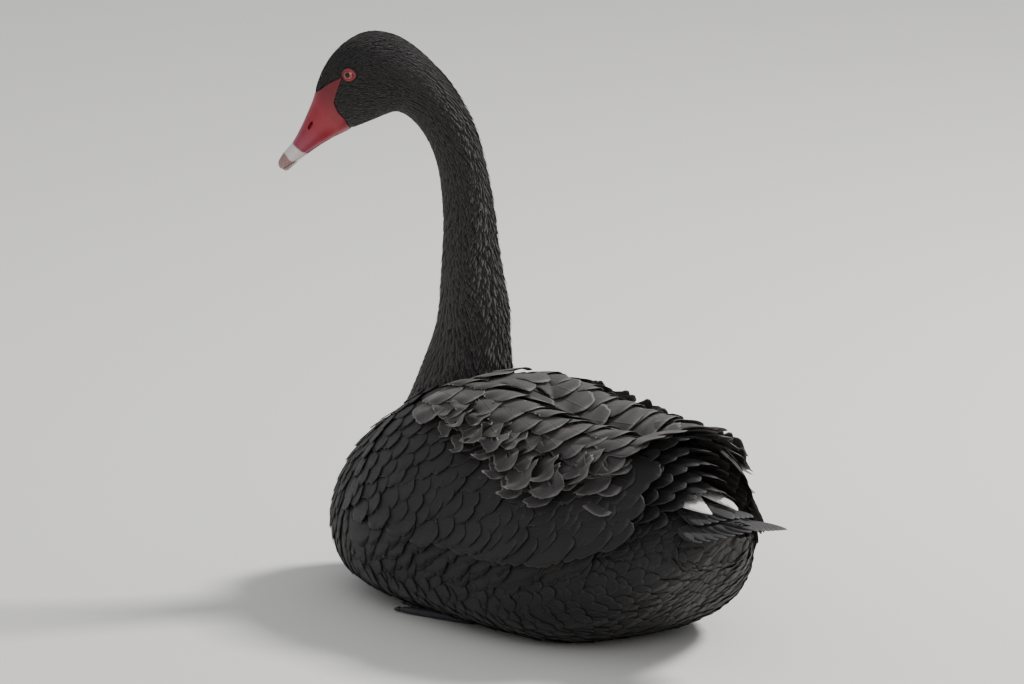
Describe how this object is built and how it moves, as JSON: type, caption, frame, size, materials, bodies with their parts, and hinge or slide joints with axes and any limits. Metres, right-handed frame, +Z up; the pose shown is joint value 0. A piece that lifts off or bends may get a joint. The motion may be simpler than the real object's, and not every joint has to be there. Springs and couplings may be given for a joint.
{
  "type": "black swan",
  "caption": "Life-size black swan at rest on flat ground, neck raised and head turned to its left, with ruffled back feathers and folded wings.",
  "frame": {"origin": "on the ground under the middle of the belly, on the flat the bird rests on", "axes": "+X forward towards the breast, +Y to the bird's left, +Z up"},
  "size_m": [0.5037, 0.238, 0.4449],
  "materials": {
    "body_plumage": "matt black-brown feathers with a soft grey sheen",
    "wing_plumage": "matt charcoal feathers, paler at their edges",
    "neck_plumage": "short matt black feathers",
    "flight_feathers": "white vanes, matt",
    "tail_feathers": "black-brown vanes, matt",
    "bill_horn": "crimson horn and bare skin, waxy",
    "bill_nail": "pale pinkish-grey horn",
    "eye": "wet, red iris round a black pupil",
    "leg_skin": "dark grey scaled skin"
  },
  "bodies": {
    "root": {"torso": "body_plumage", "neck_lower": "neck_plumage", "neck_middle": "neck_plumage", "neck_upper": "neck_plumage", "head": "neck_plumage", "bill_upper": "bill_horn", "bill_lower": "bill_horn", "bill_nail": "bill_nail", "eye_left": "eye", "eye_right": "eye", "wing_left": "wing_plumage", "wing_right": "wing_plumage", "flight_left": "flight_feathers", "flight_right": "flight_feathers", "tail": "tail_feathers", "leg_left": "leg_skin", "leg_right": "leg_skin", "foot_left": "leg_skin", "foot_right": "leg_skin"}
  },
  "joints": []
}
